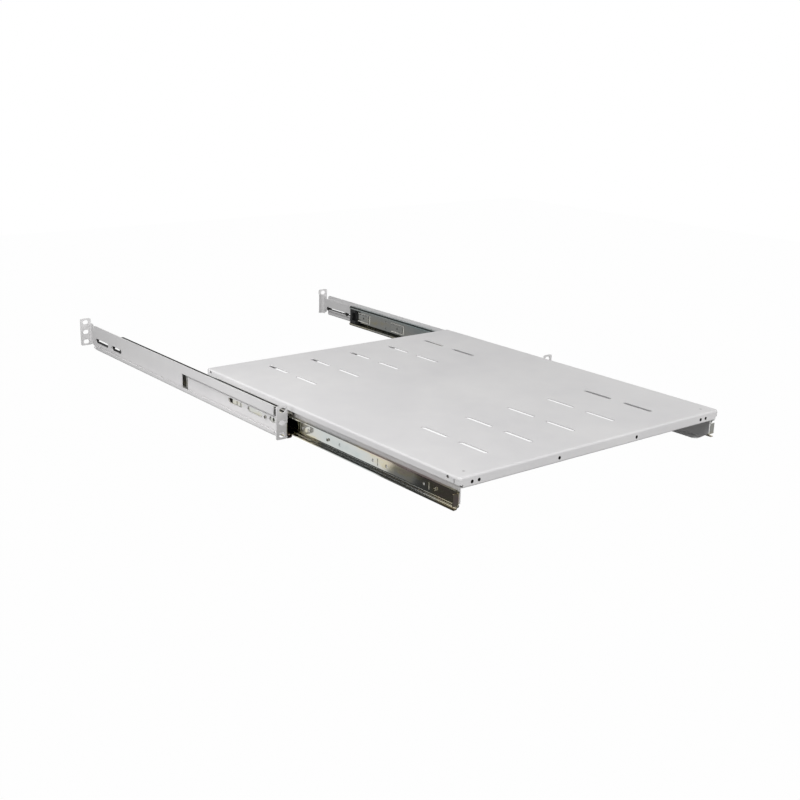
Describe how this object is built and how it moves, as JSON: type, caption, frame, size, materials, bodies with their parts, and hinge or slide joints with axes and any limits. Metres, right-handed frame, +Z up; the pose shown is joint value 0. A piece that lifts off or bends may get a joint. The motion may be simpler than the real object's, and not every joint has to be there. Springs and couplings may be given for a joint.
{
  "type": "sliding rack shelf",
  "caption": "Low vented equipment shelf that pulls out of a rack on ball-bearing slides, with folded side rails and rear ears that slide to suit the rack's depth.",
  "frame": {"origin": "middle of the front ears' hole pattern, on the ears' front faces", "axes": "+X right seen from the front, +Y to the back of the rack, +Z up"},
  "size_m": [0.4826, 0.896, 0.045],
  "materials": {
    "painted_sheet": "satin powder coat",
    "zinc_steel": "zinc plated",
    "black_plastic": "moulded",
    "bright_steel": "polished",
    "screw_steel": "zinc plated"
  },
  "bodies": {
    "rails": {"front_rail_left": "painted_sheet", "slide_outer_left": "zinc_steel", "slide_bumper_left": "black_plastic", "rail_screw_left": "screw_steel", "seat_rivet_left": "screw_steel", "guide_rivets_left": "screw_steel", "glide_strip_left": "black_plastic", "front_rail_right": "painted_sheet", "slide_outer_right": "zinc_steel", "slide_bumper_right": "black_plastic", "rail_screw_right": "screw_steel", "seat_rivet_right": "screw_steel", "guide_rivets_right": "screw_steel", "glide_strip_right": "black_plastic"},
    "shelf": {"shelf_tray": "painted_sheet", "tray_rivets": "screw_steel", "side_bracket_left": "painted_sheet", "slide_inner_left": "zinc_steel", "shelf_screws_left": "screw_steel", "side_bracket_right": "painted_sheet", "slide_inner_right": "zinc_steel", "shelf_screws_right": "screw_steel"},
    "cage_left": {"ball_cage_left": "zinc_steel", "cage_balls_left": "bright_steel"},
    "rear_left": {"rear_bracket_left": "painted_sheet"},
    "cage_right": {"ball_cage_right": "zinc_steel", "cage_balls_right": "bright_steel"},
    "rear_right": {"rear_bracket_right": "painted_sheet"}
  },
  "joints": [
    {"name": "shelf_slide", "type": "slide", "parent": "rails", "child": "shelf", "axis": [0, 1, 0], "range_m": [0, 0.3115]},
    {"name": "cage_slide_left", "type": "slide", "parent": "rails", "child": "cage_left", "axis": [0, 1, 0], "range_m": [0, 0.15575]},
    {"name": "depth_slide_left", "type": "slide", "parent": "rails", "child": "rear_left", "axis": [0, 1, 0], "range_m": [0, 0.145]},
    {"name": "cage_slide_right", "type": "slide", "parent": "rails", "child": "cage_right", "axis": [0, 1, 0], "range_m": [0, 0.15575]},
    {"name": "depth_slide_right", "type": "slide", "parent": "rails", "child": "rear_right", "axis": [0, 1, 0], "range_m": [0, 0.145]}
  ],
  "couplings": [
    {"joint": "cage_slide_left", "follows": "shelf_slide", "ratio": 0.5},
    {"joint": "cage_slide_right", "follows": "shelf_slide", "ratio": 0.5}
  ]
}
